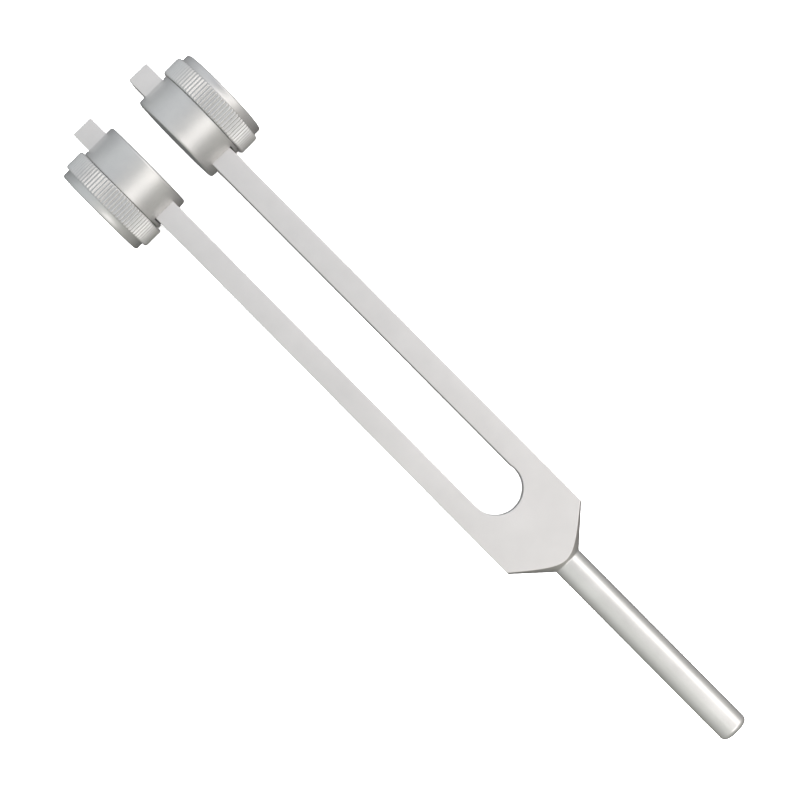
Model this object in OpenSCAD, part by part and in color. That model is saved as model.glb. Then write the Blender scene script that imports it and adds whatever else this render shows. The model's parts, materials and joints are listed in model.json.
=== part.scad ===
// Aluminium tuning fork with two sliding clamp weights.
// Frame: origin at the centre of the stem's foot face, +Y along the stem to the tips of the tines,
// +X towards the right tine, +Z square to the flat faces of the fork.

/* [Fork] */
// Length over all, foot face to tips
total_length = 240; // [220:1:260]
// Thickness of the flat bar that the fork is cut from
bar_thickness = 10.4; // [9.4:0.1:12]
// Width over both tines
fork_width = 27.8; // [26.5:0.1:30]
// Clear width of the slot between the tines
gap_width = 14.5; // [13:0.1:15.5]
// Height above the foot where the centre of the slot's round end lies
notch_centre = 91.4; // [88:0.1:100]

/* [Stem] */
// Diameter of the round stem
stem_d = 8.6; // [7:0.1:9]
// Length of the plain stem, foot face to the small end of the cone
stem_length = 63.8; // [50:0.1:70]
// Radius of the foot's rounded edge
foot_round = 1.6; // [0.4:0.1:2.5]
// Half angle of the turned cone that joins the stem to the bar
cone_half_angle = 48; // [40:1:55]

/* [Weights] */
// Diameter of a drum
drum_d = 28.1; // [26:0.1:32]
// Distance from the fork's centre plane to a drum's inner end
drum_inner = 4.85; // [1:0.05:5.5]
// Height above the foot where the right weight is clamped
right_weight_height = 220.4; // [150:0.1:225]
// Height above the foot where the left weight is clamped
left_weight_height = 220.75; // [150:0.05:225]
// Rounding of the drum's inner rim
drum_round = 0.8; // [0.2:0.1:1.5]
// Free play on the screw side of the tine in the drum's slot
slot_play = 0.35; // [0.2:0.05:0.6]
// Thickness of drum wall between the slot and the drum's shoulder
bridge = 0.9; // [0.6:0.1:2]
// Diameter of the neck that carries the thread inside the knob
neck_d = 19; // [14:0.5:21]
// Length of the neck beyond the drum's shoulder
neck_length = 4.45; // [3:0.05:5]

/* [Knobs] */
// Diameter over the knurled band
knurl_d = 30.4; // [29:0.1:33]
// Width of the knurled band
knurl_width = 6; // [5.6:0.1:8]
// Diameter of the smooth disc outside the knurled band
disc_d = 28; // [24:0.1:29]
// Thickness of the smooth disc
disc_thickness = 2.45; // [1.5:0.05:4]
// Rounding of the knob's outer edges
knob_round = 0.7; // [0.2:0.1:1]

/* [Clamp screws] */
// Nominal diameter of the clamp screw's thread
thread_d = 8; // [6:1:10]
// Diameter of the screw's plain end that is pressed into the knob
press_d = 6; // [4:0.5:6]
// Length of the screw's pressed end
press_length = 2.6; // [1.5:0.1:2.8]
// Diameter of the pressure pad
pad_d = 6.6; // [5:0.1:6.9]
// Thickness of the pressure pad's face
pad_thickness = 1.4; // [1:0.1:1.6]
// Diameter of the spigot that holds the pad in the screw
spigot_d = 3; // [2:0.1:3.6]
// Length of the pad's spigot
spigot_length = 1.7; // [1:0.1:2.5]

/* [Hidden] */
$fn = 96;

// Small working gaps
touch_gap = 0.02;   // between faces that bear on each other
run_gap = 0.05;     // radial, screw in its thread and spigot in its hole
side_gap = 0.1;     // drum's slot to the tine's flat faces, each side
shoulder_gap = 0.25; // drum's shoulder to the knob
neck_gap = 0.3;     // neck to the knob's recess, radial
tighten_gap = 0.5;  // neck's end to the bottom of the recess
past = 1;           // how far a cutter runs past a face

// The fork
stem_r = stem_d / 2;
half_width = fork_width / 2;
half_gap = gap_width / 2;
cone_r = norm([half_width, bar_thickness / 2]) + past;
cone_top = stem_length + (cone_r - stem_r) / tan(cone_half_angle);

// Distances from the fork's centre plane, going outwards
slot_inner = half_gap - touch_gap;
slot_outer = half_width + slot_play;
shoulder = slot_outer + bridge;
neck_end = shoulder + neck_length;
knob_inner = shoulder + shoulder_gap;
knob_step = knob_inner + knurl_width;
knob_outer = knob_step + disc_thickness;
recess_end = neck_end + tighten_gap;
pad_inner = half_width + touch_gap;
pad_outer = pad_inner + pad_thickness;
screw_inner = pad_outer + run_gap;

// A quarter circle's points round corner centre c, from angle a0 to a1
function corner(c, r, a0, a1, steps = 8) =
    [for (i = [0:steps]) c + r * [cos(a0 + (a1 - a0) * i / steps), sin(a0 + (a1 - a0) * i / steps)]];

// Turns children, drawn along +Z from the fork's centre plane, to point out to +X (side = 1) or -X (side = -1)
module on_tine(side, height) {
    translate([0, height, 0])
        rotate([0, 90 * side, 0])
            children();
}

// A round disc or hole between two distances from the fork's centre plane
module turned(d, from, to) {
    translate([0, 0, from])
        cylinder(d = d, h = to - from);
}

// Stem, cone and a wide cylinder above it, turned about the fork's axis
module turned_envelope() {
    rotate([-90, 0, 0])
        rotate_extrude()
            polygon(concat(
                [[0, 0]],
                corner([stem_r - foot_round, foot_round], foot_round, -90, 0),
                [
                    [stem_r, stem_length],
                    [cone_r, cone_top],
                    [cone_r, total_length + past],
                    [0, total_length + past]
                ]
            ));
}

// Flat bar, down to the foot so that the turned stem lies inside it
module flat_bar() {
    translate([-half_width, 0, -bar_thickness / 2])
        cube([fork_width, total_length, bar_thickness]);
}

// Slot between the tines with its round end
module tine_slot() {
    translate([0, notch_centre, -bar_thickness / 2 - past]) {
        cylinder(r = half_gap, h = bar_thickness + 2 * past);
        translate([-half_gap, 0, 0])
            cube([gap_width, total_length, bar_thickness + 2 * past]);
    }
}

module fork() {
    color("gainsboro")
        difference() {
            intersection() {
                flat_bar();
                turned_envelope();
            }
            tine_slot();
        }
}

// Drum with a slot for the tine and a neck with the screw's thread, drawn plain
module drum(side, height) {
    color("silver")
        difference() {
            on_tine(side, height) {
                rotate_extrude()
                    polygon(concat(
                        [[0, drum_inner]],
                        corner([drum_d / 2 - drum_round, drum_inner + drum_round], drum_round, -90, 0),
                        [
                            [drum_d / 2, shoulder],
                            [neck_d / 2, shoulder],
                            [neck_d / 2, neck_end],
                            [0, neck_end]
                        ]
                    ));
            }
            on_tine(side, height)
                turned(thread_d, slot_outer - past, neck_end + past);
            translate([side > 0 ? slot_inner : -slot_outer, height - drum_d, -bar_thickness / 2 - side_gap])
                cube([slot_outer - slot_inner, 2 * drum_d, bar_thickness + 2 * side_gap]);
        }
}

// Knob with a band for the knurl, a smooth disc and a recess that takes the drum's neck
module knob(side, height) {
    color("silver")
        on_tine(side, height)
            difference() {
                rotate_extrude()
                    polygon(concat(
                        [[0, knob_inner], [knurl_d / 2, knob_inner]],
                        corner([knurl_d / 2 - knob_round, knob_step - knob_round], knob_round, 0, 90),
                        [[disc_d / 2, knob_step]],
                        corner([disc_d / 2 - knob_round, knob_outer - knob_round], knob_round, 0, 90),
                        [[0, knob_outer]]
                    ));
                turned(neck_d + 2 * neck_gap, knob_inner - past, recess_end);
                turned(press_d, recess_end - past, recess_end + press_length);
            }
}

// Clamp screw: threaded shank, pressed end in the knob, blind hole for the pad's spigot
module screw(side, height) {
    color("slategray")
        on_tine(side, height)
            difference() {
                union() {
                    turned(thread_d - 2 * run_gap, screw_inner, recess_end);
                    turned(press_d, recess_end - run_gap, recess_end + press_length);
                }
                turned(spigot_d + 2 * run_gap, screw_inner - past, pad_outer + spigot_length + 2 * run_gap);
            }
}

// Pressure pad that bears on the tine, with the spigot that holds it in the screw
module pad(side, height) {
    color("ivory")
        on_tine(side, height) {
            turned(pad_d, pad_inner, pad_outer);
            turned(spigot_d, pad_outer - run_gap, pad_outer + spigot_length);
        }
}

module right_drum() {
    drum(1, right_weight_height);
}

module right_knob() {
    knob(1, right_weight_height);
}

module right_screw() {
    screw(1, right_weight_height);
}

module right_pad() {
    pad(1, right_weight_height);
}

module left_drum() {
    drum(-1, left_weight_height);
}

module left_knob() {
    knob(-1, left_weight_height);
}

module left_screw() {
    screw(-1, left_weight_height);
}

module left_pad() {
    pad(-1, left_weight_height);
}

fork();
right_drum();
right_knob();
right_screw();
right_pad();
left_drum();
left_knob();
left_screw();
left_pad();
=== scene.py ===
import json
import math

import bmesh
import bpy
from mathutils import Matrix, Vector


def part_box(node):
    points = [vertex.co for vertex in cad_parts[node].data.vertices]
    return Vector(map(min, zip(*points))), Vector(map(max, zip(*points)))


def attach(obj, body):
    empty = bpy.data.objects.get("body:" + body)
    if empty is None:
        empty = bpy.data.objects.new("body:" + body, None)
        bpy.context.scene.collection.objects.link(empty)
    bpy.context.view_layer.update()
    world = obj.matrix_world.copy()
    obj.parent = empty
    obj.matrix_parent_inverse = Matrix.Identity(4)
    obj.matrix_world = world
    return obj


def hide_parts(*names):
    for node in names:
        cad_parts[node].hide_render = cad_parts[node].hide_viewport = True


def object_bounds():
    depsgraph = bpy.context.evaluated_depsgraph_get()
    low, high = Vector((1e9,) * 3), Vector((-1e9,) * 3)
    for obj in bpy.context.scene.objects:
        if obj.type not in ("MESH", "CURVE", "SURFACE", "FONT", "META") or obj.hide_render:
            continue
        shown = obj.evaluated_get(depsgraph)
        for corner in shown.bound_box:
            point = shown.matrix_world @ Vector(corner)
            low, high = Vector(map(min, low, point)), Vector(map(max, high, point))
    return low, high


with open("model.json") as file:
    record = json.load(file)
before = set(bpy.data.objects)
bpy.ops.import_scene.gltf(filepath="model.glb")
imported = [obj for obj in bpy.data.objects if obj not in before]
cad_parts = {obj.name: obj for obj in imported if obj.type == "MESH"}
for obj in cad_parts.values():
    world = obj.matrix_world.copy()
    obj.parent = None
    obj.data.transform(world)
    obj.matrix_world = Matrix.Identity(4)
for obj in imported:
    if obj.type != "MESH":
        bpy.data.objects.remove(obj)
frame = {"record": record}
cad_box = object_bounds()

MM = 0.001
TAU = 2 * math.pi
SIDES = {"right": 1, "left": -1}

# Sizes that the frame doesn't hold, in metres
GAP_HALF = 7.25 * MM         # half the clear width between the tines
NOTCH_CENTRE = 91.4 * MM     # height of the centre of the slot's round end
CONE_HALF_ANGLE = math.radians(48)
FOOT_ROUND = 1.6 * MM
EDGE_BREAK = 0.22 * MM       # deburred edges of the fork
DRUM_ROUND = 0.8 * MM
SLOT_PLAY = 0.35 * MM
TOUCH_GAP = 0.02 * MM
SIDE_GAP = 0.1 * MM
NECK_R = 9.5 * MM
NECK_LENGTH = 4.45 * MM
SHOULDER_LIP = 0.2 * MM      # how much nearer to the knob the drum's shoulder is than in the CAD
DRUM_CHAMFER = 0.2 * MM      # outer edges of the drum's shoulder, neck and bore
DRUM_EDGE_BREAK = 0.12 * MM
NECK_GAP = 0.3 * MM
TIGHTEN_GAP = 0.5 * MM
BORE_R = 4 * MM
DISC_R = 14 * MM
KNURL_WIDTH = 6 * MM
KNURL_TEETH = 88
TOOTH_STEPS = 8              # vertices round one tooth
KNURL_DEPTH = 0.36 * MM
KNURL_CHAMFER = 0.45 * MM
KNOB_ROUND = 0.7 * MM
KNOB_CHAMFER = 0.25 * MM     # inner edges of the knob's recess and band
STEP_FILLET = 0.08 * MM      # where the knurled band meets the disc
PRESS_R = 3 * MM
PRESS_LENGTH = 2.6 * MM
THREAD_PITCH = 1 * MM
THREAD_DEPTH = 0.55 * MM
PAD_THICKNESS = 1.4 * MM
SPIGOT_R = 1.5 * MM
PAD_CHAMFER = 0.25 * MM
NOTCH_R = 7.35 * MM          # radius of the slot's drilled end
NOTCH_SHIFT = 0.1 * MM       # how far that hole lies towards the right tine
CROWN_SLOPE = 0.09           # slope of a tine's flat face at its edges, from polishing
TURNING_PITCH = 0.12 * MM
GRAIN_SCALE = 5200           # blasted grain, cells in a metre

# Camera: place and target in metres, turn of the fork from picture-up in degrees, lens in mm
CAMERA_PLACE = (-0.01137, 0.10124, 0.51044)
CAMERA_TARGET = (-0.00149, 0.12646, 0)
CAMERA_TURN = 44.77
CAMERA_LENS = 84.77

# The tent's colours along Y (stem to tips), along Z (down to up) and along X (left to right)
WORLD_ALONG = [(0.0, (0.72, 0.71, 0.68)), (0.45, (1.0, 0.99, 0.97)), (0.60, (0.80, 0.82, 0.855)),
               (0.74, (0.97, 1.0, 1.03)), (1.0, (0.90, 0.93, 0.96))]
WORLD_UP = [(0.0, 0.09), (0.15, 0.30), (0.30, 0.46), (0.5, 0.57), (0.75, 0.77), (1.0, 0.77)]
WORLD_ACROSS = [(0.0, (0.92, 0.93, 0.91)), (0.15, (1.07, 1.08, 1.05)), (0.40, (0.85, 0.86, 0.84)),
                (0.54, (0.98, 0.97, 0.97)), (1.0, (1.02, 1.01, 1.0))]

# Soft boxes: name, place, target, size, power, colour, seen in glossy surfaces
LIGHTS = [
    ("key", (1.20, -0.10, 0.90), (0, 0.1, 0), (1.4, 1.1), 3.9, (1.0, 0.965, 0.945), True),
    ("back", (0.0, -0.74, 1.34), (0, 0.15, 0), (1.6, 0.85), 4.1, (1.0, 0.965, 0.945), True),
    ("floor_fill", (0.0, 0.12, 1.2), (0, 0.12, 0), (1.6, 1.6), 90.0, (1.0, 1.0, 1.0), False),
]

HALF_WIDTH, TIP, HALF_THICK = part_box("fork")[1]
mounts = {m["name"]: m for m in frame["record"]["mounts"]}
STEM_R = mounts["stem"]["dims"]["r_mm"] * MM
STEM_TOP = mounts["stem"]["pos_m"][1] + mounts["stem"]["dims"]["length_mm"] * MM / 2


# ---------------------------------------------------------------- mesh tools

def make_object(name, bm, materials):
    """A smooth-shaded object from bm, with its materials and outward normals."""
    bmesh.ops.recalc_face_normals(bm, faces=bm.faces)
    mesh = bpy.data.meshes.new(name)
    bm.to_mesh(mesh)
    bm.free()
    for material in materials:
        mesh.materials.append(material)
    for polygon in mesh.polygons:
        polygon.use_smooth = True
    obj = bpy.data.objects.new(name, mesh)
    bpy.context.scene.collection.objects.link(obj)
    return obj


def soften(obj, width, segments=3, angle=28):
    """Rounds the hard edges and keeps the flat faces flat."""
    bevel = obj.modifiers.new("edges", "BEVEL")
    bevel.width = width
    bevel.segments = segments
    bevel.limit_method = "ANGLE"
    bevel.angle_limit = math.radians(angle)
    bevel.harden_normals = True
    weigh_normals(obj)


def weigh_normals(obj):
    """Lets the large faces set the shading next to an edge."""
    obj.modifiers.new("normals", "WEIGHTED_NORMAL").keep_sharp = True


def bridge(bm, ring_a, ring_b, closed=True, material=0):
    """Quads between two rows of vertices with the same count."""
    count = len(ring_a) if closed else len(ring_a) - 1
    for i in range(count):
        j = (i + 1) % len(ring_a)
        face = bm.faces.new([ring_a[i], ring_a[j], ring_b[j], ring_b[i]])
        face.material_index = material


def cap(bm, ring, material=0):
    """One flat face over a closed ring."""
    bm.faces.new(ring).material_index = material


def arc(centre, radius, start, end, steps):
    """Points (distance along the axis, radius from the axis) on an arc, angles in degrees."""
    angles = [math.radians(start + (end - start) * i / steps) for i in range(steps + 1)]
    return [(centre[0] + radius * math.sin(a), centre[1] + radius * math.cos(a)) for a in angles]


def split_angles(corners, total):
    """Angles round a circle with every corner angle among them and about total in all."""
    corners = sorted(a % TAU for a in corners)
    angles = []
    for i, start in enumerate(corners):
        end = corners[(i + 1) % len(corners)]
        span = (end - start) % TAU or TAU
        steps = max(1, round(total * span / TAU))
        angles += [start + span * k / steps for k in range(steps)]
    return angles


def reach(box):
    """From a weight part's box: its height above the foot, outer radius and least and greatest
    distance from the fork's centre plane."""
    low, high = box
    inner, outer = sorted((abs(low.x), abs(high.x)))
    return (low.y + high.y) / 2, high.z, inner, outer


def turn_profile(bm, rows, angles, centre, side, first_cap=True, last_cap=True):
    """Turns rows of (distance from the centre plane, radius) about a weight's axis.

    A radius is a number or a function of the angle. Returns the rings of vertices."""
    rings = []
    for along, radius in rows:
        ring = []
        for angle in angles:
            r = radius(angle) if callable(radius) else radius
            place = (side * along, centre + r * math.cos(angle), r * math.sin(angle))
            ring.append(bm.verts.new(place))
        rings.append(ring)
    for ring_a, ring_b in zip(rings, rings[1:]):
        bridge(bm, ring_a, ring_b)
    if first_cap:
        cap(bm, rings[0])
    if last_cap:
        cap(bm, rings[-1])
    return rings


def even_angles(count):
    """Angles round a circle, all the same step apart."""
    return [TAU * i / count for i in range(count)]


# ---------------------------------------------------------------- materials

def new_material(name):
    """A material, its node tree and its Principled surface."""
    material = bpy.data.materials.new(name)
    material.use_nodes = True
    tree = material.node_tree
    return material, tree, tree.nodes["Principled BSDF"]


def node_adder(tree):
    """A function that adds a node to tree, with input values, settings and links from outputs."""
    def add(kind, links=None, **values):
        node = tree.nodes.new(kind)
        for key, value in values.items():
            if key in node.inputs:
                node.inputs[key].default_value = value
            else:
                setattr(node, key, value)
        for key, output in (links or {}).items():
            tree.links.new(output, node.inputs[key])
        return node

    return add


def colour_ramp(add, source, stops):
    """A ramp node with (position, grey or colour) stops, fed by source."""
    node = add("ShaderNodeValToRGB", {"Fac": source})
    elements = node.color_ramp.elements
    while len(elements) < len(stops):
        elements.new(0.5)
    for element, (position, colour) in zip(elements, stops):
        element.position = position
        element.color = (*colour, 1) if isinstance(colour, tuple) else (colour, colour, colour, 1)
    return node


def metal(name, tint_low, tint_high, rough_low, rough_high, grain_bump=0.012, mottle=90,
          turned_bump=None, crown=False):
    """Satin metal: fine blasted grain, slow mottling in colour and gloss, optional turning marks.

    grain_bump and turned_bump are depths in millimetres."""
    material, tree, shader = new_material(name)
    add = node_adder(tree)
    place = add("ShaderNodeTexCoord").outputs["Object"]
    cloud = add("ShaderNodeTexNoise", {"Vector": place}, Scale=mottle, Detail=4, Roughness=0.6)
    tint = colour_ramp(add, cloud.outputs["Fac"], [(0.32, tint_low), (0.68, tint_high)])
    tree.links.new(tint.outputs["Color"], shader.inputs["Base Color"])
    fine = add("ShaderNodeTexNoise", {"Vector": place}, Scale=GRAIN_SCALE, Detail=3, Roughness=0.55)
    smear = add("ShaderNodeTexNoise", {"Vector": place}, Scale=mottle * 4, Detail=5, Roughness=0.65)
    mixed = add("ShaderNodeMix", {"A": smear.outputs["Fac"], "B": fine.outputs["Fac"]}, Factor=0.45)
    gloss = colour_ramp(add, mixed.outputs["Result"], [(0.3, rough_low), (0.7, rough_high)])
    tree.links.new(gloss.outputs["Color"], shader.inputs["Roughness"])
    bump = add("ShaderNodeBump", {"Height": fine.outputs["Fac"]},
               Strength=1.0, Distance=grain_bump * MM)
    if turned_bump is not None:
        links = {"Height": turning_marks(add, place), "Normal": bump.outputs["Normal"]}
        bump = add("ShaderNodeBump", links, Strength=1.0, Distance=turned_bump * MM)
    if crown:
        links = {"Height": tine_crown(add, place), "Normal": bump.outputs["Normal"]}
        bump = add("ShaderNodeBump", links, Strength=1.0, Distance=1.0)
    tree.links.new(bump.outputs["Normal"], shader.inputs["Normal"])
    shader.inputs["Metallic"].default_value = 1.0
    return material


def tine_crown(add, place):
    """Height of the faint crown that polishing leaves across each tine. It fades at the yoke."""
    parts = add("ShaderNodeSeparateXYZ", {"Vector": place}).outputs
    across = add("ShaderNodeMath", {0: parts["X"]}, operation="ABSOLUTE")
    offset = add("ShaderNodeMath", {0: across.outputs[0]}, operation="SUBTRACT")
    offset.inputs[1].default_value = (GAP_HALF + HALF_WIDTH) / 2
    square = add("ShaderNodeMath", {0: offset.outputs[0], 1: offset.outputs[0]},
                 operation="MULTIPLY")
    fade = add("ShaderNodeMapRange", {"Value": parts["Y"]}, interpolation_type="SMOOTHSTEP")
    fade.inputs["From Min"].default_value = NOTCH_CENTRE - GAP_HALF
    fade.inputs["From Max"].default_value = NOTCH_CENTRE + 2 * GAP_HALF
    fade.inputs["To Max"].default_value = -CROWN_SLOPE / (HALF_WIDTH - GAP_HALF)
    crown = add("ShaderNodeMath", {0: square.outputs[0], 1: fade.outputs[0]}, operation="MULTIPLY")
    return crown.outputs[0]


def turning_marks(add, place):
    """Fine rings left by a lathe tool: noise that changes only along the fork's axis."""
    squeezed = add("ShaderNodeVectorMath", {0: place}, operation="MULTIPLY")
    squeezed.inputs[1].default_value = (0, 1 / TURNING_PITCH, 0)
    return add("ShaderNodeTexNoise", {"Vector": squeezed.outputs["Vector"]},
               Scale=1.0, Detail=2, Roughness=0.6).outputs["Fac"]


def nylon(name):
    """Slightly translucent natural nylon with a faint moulded grain."""
    material, tree, shader = new_material(name)
    add = node_adder(tree)
    place = add("ShaderNodeTexCoord").outputs["Object"]
    cloud = add("ShaderNodeTexNoise", {"Vector": place}, Scale=900, Detail=4)
    tint = colour_ramp(add, cloud.outputs["Fac"],
                       [(0.3, (0.74, 0.71, 0.62)), (0.7, (0.84, 0.82, 0.75))])
    tree.links.new(tint.outputs["Color"], shader.inputs["Base Color"])
    bump = add("ShaderNodeBump", {"Height": cloud.outputs["Fac"]}, Strength=1.0, Distance=0.01 * MM)
    tree.links.new(bump.outputs["Normal"], shader.inputs["Normal"])
    shader.inputs["Roughness"].default_value = 0.42
    shader.inputs["Subsurface Weight"].default_value = 0.15
    shader.inputs["Subsurface Radius"].default_value = (0.001, 0.001, 0.0008)
    return material


bar_metal = metal("bar_metal", (0.85, 0.835, 0.83), (0.90, 0.885, 0.88), 0.40, 0.50,
                  grain_bump=0.008, mottle=60, crown=True)
cone_metal = metal("cone_metal", (0.70, 0.69, 0.67), (0.78, 0.77, 0.75), 0.34, 0.44,
                   turned_bump=0.006)
stem_metal = metal("stem_metal", (0.78, 0.78, 0.77), (0.86, 0.86, 0.85), 0.27, 0.38,
                   grain_bump=0.003, turned_bump=0.003)
drum_metal = metal("drum_metal", (0.72, 0.72, 0.72), (0.80, 0.80, 0.79), 0.36, 0.46,
                   grain_bump=0.016)
knob_metal = metal("knob_metal", (0.72, 0.72, 0.72), (0.80, 0.80, 0.79), 0.36, 0.46,
                   grain_bump=0.016)
screw_metal = metal("screw_metal", (0.42, 0.42, 0.43), (0.52, 0.52, 0.53), 0.26, 0.38,
                    grain_bump=0.004)
pad_nylon = nylon("pad_nylon")


# ---------------------------------------------------------------- the fork

def bar_edge(angle):
    """Distance from the fork's axis to the bar's outline, seen along the axis."""
    c, s = abs(math.cos(angle)), abs(math.sin(angle))
    return min(HALF_WIDTH / max(c, 1e-9), HALF_THICK / max(s, 1e-9))


def build_fork():
    """One closed mesh: flat tines and bar, turned cone, round stem."""
    bm = bmesh.new()
    corner = math.atan2(HALF_THICK, HALF_WIDTH)
    corners = [corner, math.pi - corner, math.pi + corner, -corner]
    angles = split_angles(corners, 144)
    count = len(angles)

    def ring(y, radius):
        made = []
        for angle in angles:
            r = radius(angle) if callable(radius) else radius
            height = y(r) if callable(y) else y
            made.append(bm.verts.new((r * math.cos(angle), height, r * math.sin(angle))))
        return made

    outline = ring(lambda r: STEM_TOP + (r - STEM_R) / math.tan(CONE_HALF_ANGLE), bar_edge)
    stem_steps, foot_steps = 6, 10
    stem_rows = [(STEM_TOP + (FOOT_ROUND - STEM_TOP) * i / stem_steps, STEM_R)
                 for i in range(stem_steps + 1)]
    stem_rows += [(FOOT_ROUND * (1 - math.sin(a)), STEM_R - FOOT_ROUND * (1 - math.cos(a)))
                  for a in (math.radians(90 * i / foot_steps) for i in range(1, foot_steps + 1))]
    stem_rings = [ring(y, r) for y, r in stem_rows]
    bridge(bm, outline, stem_rings[0], material=1)
    for ring_a, ring_b in zip(stem_rings, stem_rings[1:]):
        bridge(bm, ring_a, ring_b, material=2)
    cap(bm, stem_rings[-1], material=2)

    # The four corners of the outline, in order: right top, left top, left bottom, right bottom
    marks = [min(range(count), key=lambda i: abs(angles[i] - a % TAU))
             for a in corners]

    def between(start, end):
        steps = (end - start) % count
        return [outline[(start + k) % count] for k in range(steps + 1)]

    low_top = between(marks[0], marks[1])
    left_end = between(marks[1], marks[2])
    low_bottom = between(marks[2], marks[3])
    right_end = between(marks[3], marks[0])

    # The slot's round end is a drilled hole a little wider than the slot and off centre
    start = math.acos((GAP_HALF - NOTCH_SHIFT) / NOTCH_R)
    notch_steps = 72
    sweep = [start - (start + math.pi) * i / notch_steps for i in range(notch_steps + 1)]
    notch = [(NOTCH_SHIFT + NOTCH_R * math.cos(a), NOTCH_CENTRE + NOTCH_R * math.sin(a))
             for a in sweep]
    path = [(HALF_WIDTH, TIP), (GAP_HALF, TIP)] + notch + [(-GAP_HALF, TIP), (-HALF_WIDTH, TIP)]
    top = [bm.verts.new((x, y, HALF_THICK)) for x, y in path]
    bottom = [bm.verts.new((x, y, -HALF_THICK)) for x, y in path]
    bridge(bm, top, bottom, closed=False)
    cap(bm, low_top + list(reversed(top)))
    cap(bm, low_bottom + bottom)
    cap(bm, right_end + [top[0], bottom[0]])
    cap(bm, left_end + [bottom[-1], top[-1]])
    fork = make_object("tuning_fork", bm, [bar_metal, cone_metal, stem_metal])
    soften(fork, EDGE_BREAK)
    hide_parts("fork")
    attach(fork, "fork")


# ---------------------------------------------------------------- the clamp weights

def build_drum(side_name):
    """Drum with its slot, neck and bore, from rings that share the slot's corner angles."""
    side = SIDES[side_name]
    centre, drum_r, inner, neck_end = reach(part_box(side_name + "_drum"))
    shoulder = neck_end - NECK_LENGTH + SHOULDER_LIP
    slot_in, slot_out = GAP_HALF - TOUCH_GAP, HALF_WIDTH + SLOT_PLAY
    half_slot = HALF_THICK + SIDE_GAP
    corner = math.asin(half_slot / drum_r)
    angles = split_angles([corner, math.pi - corner, math.pi + corner, -corner], 192)
    count = len(angles)
    bm = bmesh.new()

    rows = arc((inner + DRUM_ROUND, drum_r - DRUM_ROUND), DRUM_ROUND, -90, 0, 6)
    rows.append((slot_in, drum_r))
    inside = turn_profile(bm, rows, angles, centre, side, last_cap=False)
    lip = DRUM_CHAMFER
    rows = [(slot_out, drum_r), (shoulder - lip, drum_r), (shoulder, drum_r - lip),
            (shoulder, NECK_R), (neck_end - 2 * lip, NECK_R), (neck_end, NECK_R - 2 * lip),
            (neck_end, BORE_R + lip), (neck_end - lip, BORE_R), (slot_out, BORE_R)]
    outside = turn_profile(bm, rows, angles, centre, side, first_cap=False, last_cap=False)

    def open_at(i):
        """True where the slot leaves the drum between angle i and the next one."""
        middle = angles[i] + ((angles[(i + 1) % count] - angles[i]) % TAU) / 2
        return abs(math.sin(middle)) * drum_r < half_slot

    def wall(rim, along):
        """The loop round one wall of the slot: the drum's rim where it is open, else flat sides."""
        loop = []
        for i, angle in enumerate(angles):
            if open_at(i) or open_at(i - 1):
                loop.append(rim[i])
            else:
                r = half_slot / abs(math.sin(angle))
                place = (side * along, centre + r * math.cos(angle), r * math.sin(angle))
                loop.append(bm.verts.new(place))
        return loop

    inner_wall, outer_wall = wall(inside[-1], slot_in), wall(outside[0], slot_out)
    cap(bm, inner_wall)
    bridge(bm, outer_wall, outside[-1])
    for i in range(count):
        j = (i + 1) % count
        if not open_at(i):
            bm.faces.new([inside[-1][i], inside[-1][j], outside[0][j], outside[0][i]])
            bm.faces.new([inner_wall[i], inner_wall[j], outer_wall[j], outer_wall[i]])
    drum = make_object(side_name + "_weight_drum", bm, [drum_metal])
    soften(drum, DRUM_EDGE_BREAK, segments=2, angle=35)
    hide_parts(side_name + "_drum")
    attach(drum, side_name + "_weight")
    return neck_end


def knurl_radius(crest, limit):
    """Radius of the knurled band at an angle, cut off where an end chamfer or rounding is lower."""
    def radius(angle):
        wave = 0.5 + 0.5 * math.cos(KNURL_TEETH * angle)
        return min(crest - KNURL_DEPTH * (1 - wave ** 0.8), limit)
    return radius


def build_knob(side_name, neck_end):
    """Knurled knob: recess for the neck, band with chamfered and rounded ends, smooth disc."""
    side = SIDES[side_name]
    centre, crest, inner, outer = reach(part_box(side_name + "_knob"))
    step = inner + KNURL_WIDTH
    recess_end = neck_end + TIGHTEN_GAP
    recess_r = NECK_R + NECK_GAP
    lip = KNOB_CHAMFER
    bm = bmesh.new()
    rows = [(recess_end + PRESS_LENGTH, PRESS_R), (recess_end, PRESS_R), (recess_end, recess_r),
            (inner + lip, recess_r), (inner, recess_r + lip),
            (inner, crest - KNURL_CHAMFER - lip)]
    for up in (0, 0.25, 0.5, 0.75, 1):
        limit = crest - KNURL_CHAMFER * (1 - up)
        rows.append((inner + KNURL_CHAMFER * up, knurl_radius(crest, limit)))
    rows.append((inner + KNURL_CHAMFER * 1.6, knurl_radius(crest, crest)))
    rows.append((step - KNOB_ROUND - 0.1 * MM, knurl_radius(crest, crest)))
    for along, limit in arc((step - KNOB_ROUND, crest - KNOB_ROUND), KNOB_ROUND, 0, 90, 6):
        rows.append((along, knurl_radius(crest, limit)))
    rows += [(step, DISC_R + STEP_FILLET), (step + STEP_FILLET, DISC_R),
             (outer - KNOB_ROUND - lip, DISC_R)]
    rows += arc((outer - KNOB_ROUND, DISC_R - KNOB_ROUND), KNOB_ROUND, 0, 90, 7)
    rows += [(outer, DISC_R * 0.5), (outer, DISC_R * 0.12)]
    turn_profile(bm, rows, even_angles(KNURL_TEETH * TOOTH_STEPS), centre, side)
    knob = make_object(side_name + "_knurled_knob", bm, [knob_metal])
    knob.data.set_sharp_from_angle(angle=math.radians(50))
    weigh_normals(knob)
    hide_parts(side_name + "_knob")
    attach(knob, side_name + "_knob")


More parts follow.
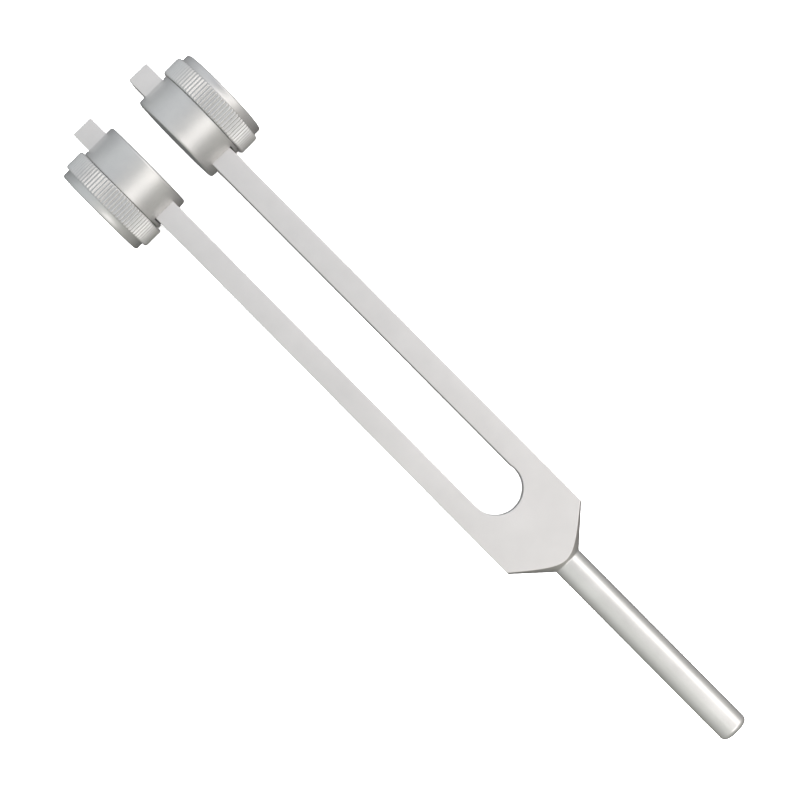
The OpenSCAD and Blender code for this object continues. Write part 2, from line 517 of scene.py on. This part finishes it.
def build_screw(side_name):
    """Clamp screw with its helical thread, pressed end and the hole that holds the pad."""
    side = SIDES[side_name]
    centre, crest, start, end = reach(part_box(side_name + "_screw"))
    recess_end = end - PRESS_LENGTH
    hole_r = SPIGOT_R + 0.05 * MM

    def thread(along, limit):
        """Radius of the thread at an angle, at a distance from the centre plane."""
        def radius(angle):
            turn = (along / THREAD_PITCH - side * angle / TAU) % 1
            depth = THREAD_DEPTH * min(1, max(0, abs(2 * turn - 1) * 1.25 - 0.125))
            return min(crest - depth, limit)
        return radius

    bm = bmesh.new()
    rows = [(start + 1.8 * MM, hole_r), (start + 0.15 * MM, hole_r), (start, hole_r + 0.15 * MM),
            (start, crest - THREAD_DEPTH - 0.1 * MM)]
    thread_steps = 60
    for i in range(thread_steps + 1):
        along = start + (recess_end - start) * i / thread_steps
        rows.append((along, thread(along, crest - THREAD_DEPTH + (along - start))))
    rows += [(recess_end, PRESS_R + 0.1 * MM), (recess_end + 0.1 * MM, PRESS_R),
             (end - 0.3 * MM, PRESS_R), (end, PRESS_R - 0.3 * MM)]
    turn_profile(bm, rows, even_angles(96), centre, side)
    screw = make_object(side_name + "_clamp_screw", bm, [screw_metal])
    screw.data.set_sharp_from_angle(angle=math.radians(55))
    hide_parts(side_name + "_screw")
    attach(screw, side_name + "_knob")


def build_pad(side_name):
    """Nylon pad with a chamfered face and a spigot with a snap groove."""
    side = SIDES[side_name]
    centre, pad_r, start, end = reach(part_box(side_name + "_pad"))
    back = start + PAD_THICKNESS
    lip = PAD_CHAMFER
    bm = bmesh.new()
    rows = [(start, pad_r - 2 * lip), (start + lip / 2, pad_r - lip / 2), (start + lip, pad_r),
            (back - lip, pad_r), (back - lip / 3, pad_r - lip / 3), (back, pad_r - lip),
            (back, SPIGOT_R), (back + 2 * lip, SPIGOT_R), (back + 3 * lip, SPIGOT_R - lip / 2),
            (back + 4 * lip, SPIGOT_R), (end - lip, SPIGOT_R), (end, SPIGOT_R - lip)]
    turn_profile(bm, rows, even_angles(72), centre, side)
    pad = make_object(side_name + "_pressure_pad", bm, [pad_nylon])
    pad.data.set_sharp_from_angle(angle=math.radians(40))
    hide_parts(side_name + "_pad")
    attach(pad, side_name + "_pad")


build_fork()
for name in SIDES:
    build_knob(name, build_drum(name))
    build_screw(name)
    build_pad(name)


# ---------------------------------------------------------------- floor, light and camera

def build_floor():
    """A plain pale floor that the knurled bands rest on."""
    bm = bmesh.new()
    bmesh.ops.create_grid(bm, x_segments=1, y_segments=1, size=6)
    floor = make_object("floor", bm, [])
    floor.location = (0, TIP / 2, cad_box[0].z)
    material, tree, shader = new_material("floor_paint")
    shader.inputs["Base Color"].default_value = (0.92, 0.92, 0.92, 1)
    shader.inputs["Roughness"].default_value = 0.9
    shader.inputs["Specular IOR Level"].default_value = 0.1
    floor.data.materials.append(material)
    floor.visible_glossy = False


def area_light(name, place, target, size, power, colour, glossy):
    """A soft box at place, facing target, both in metres."""
    data = bpy.data.lights.new(name, "AREA")
    data.shape = "RECTANGLE"
    data.size, data.size_y = size
    data.energy = power
    data.color = colour
    light = bpy.data.objects.new(name, data)
    light.location = place
    light.rotation_mode = "QUATERNION"
    light.rotation_quaternion = (Vector(target) - Vector(place)).to_track_quat("-Z", "Y")
    light.visible_glossy = glossy
    bpy.context.scene.collection.objects.link(light)


def build_world():
    """A soft tent: pale above, dim below, cooler towards the tips and warmer towards the stem."""
    world = bpy.data.worlds.new("tent")
    world.use_nodes = True
    bpy.context.scene.world = world
    tree = world.node_tree
    add = node_adder(tree)
    direction = add("ShaderNodeTexCoord").outputs["Generated"]
    parts = add("ShaderNodeSeparateXYZ", {"Vector": direction}).outputs

    def ramp(axis, stops):
        """Colour by the direction's part along an axis, which runs from -1 to 1."""
        scaled = add("ShaderNodeMapRange", {"Value": parts[axis]})
        scaled.inputs["From Min"].default_value = -1
        return colour_ramp(add, scaled.outputs["Result"], stops).outputs["Color"]

    def product(colour_a, colour_b):
        """One colour times another."""
        mix = add("ShaderNodeMix", data_type="RGBA", blend_type="MULTIPLY", Factor=1)
        tree.links.new(colour_a, mix.inputs[6])
        tree.links.new(colour_b, mix.inputs[7])
        return mix.outputs[2]

    tent = product(product(ramp("Y", WORLD_ALONG), ramp("Z", WORLD_UP)), ramp("X", WORLD_ACROSS))
    tree.links.new(tent, tree.nodes["Background"].inputs["Color"])


def build_camera():
    """A long lens nearly square above the fork, with the stem pointing to the lower right."""
    data = bpy.data.cameras.new("camera")
    data.sensor_width = 36
    data.lens = CAMERA_LENS
    data.clip_start, data.clip_end = 0.01, 20
    camera = bpy.data.objects.new("camera", data)
    place, target = Vector(CAMERA_PLACE), Vector(CAMERA_TARGET)
    back = (place - target).normalized()
    up = Vector((0, 1, 0))
    up = (up - back * up.dot(back)).normalized()
    right = up.cross(back)
    turn = math.radians(CAMERA_TURN)
    picture_up = up * math.cos(turn) + right * math.sin(turn)
    picture_right = picture_up.cross(back)
    camera.matrix_world = Matrix((
        (picture_right.x, picture_up.x, back.x, place.x),
        (picture_right.y, picture_up.y, back.y, place.y),
        (picture_right.z, picture_up.z, back.z, place.z),
        (0, 0, 0, 1),
    ))
    bpy.context.scene.collection.objects.link(camera)
    bpy.context.scene.camera = camera


build_world()
build_floor()
for light in LIGHTS:
    area_light(*light)
build_camera()
bpy.context.scene.view_settings.view_transform = "Standard"
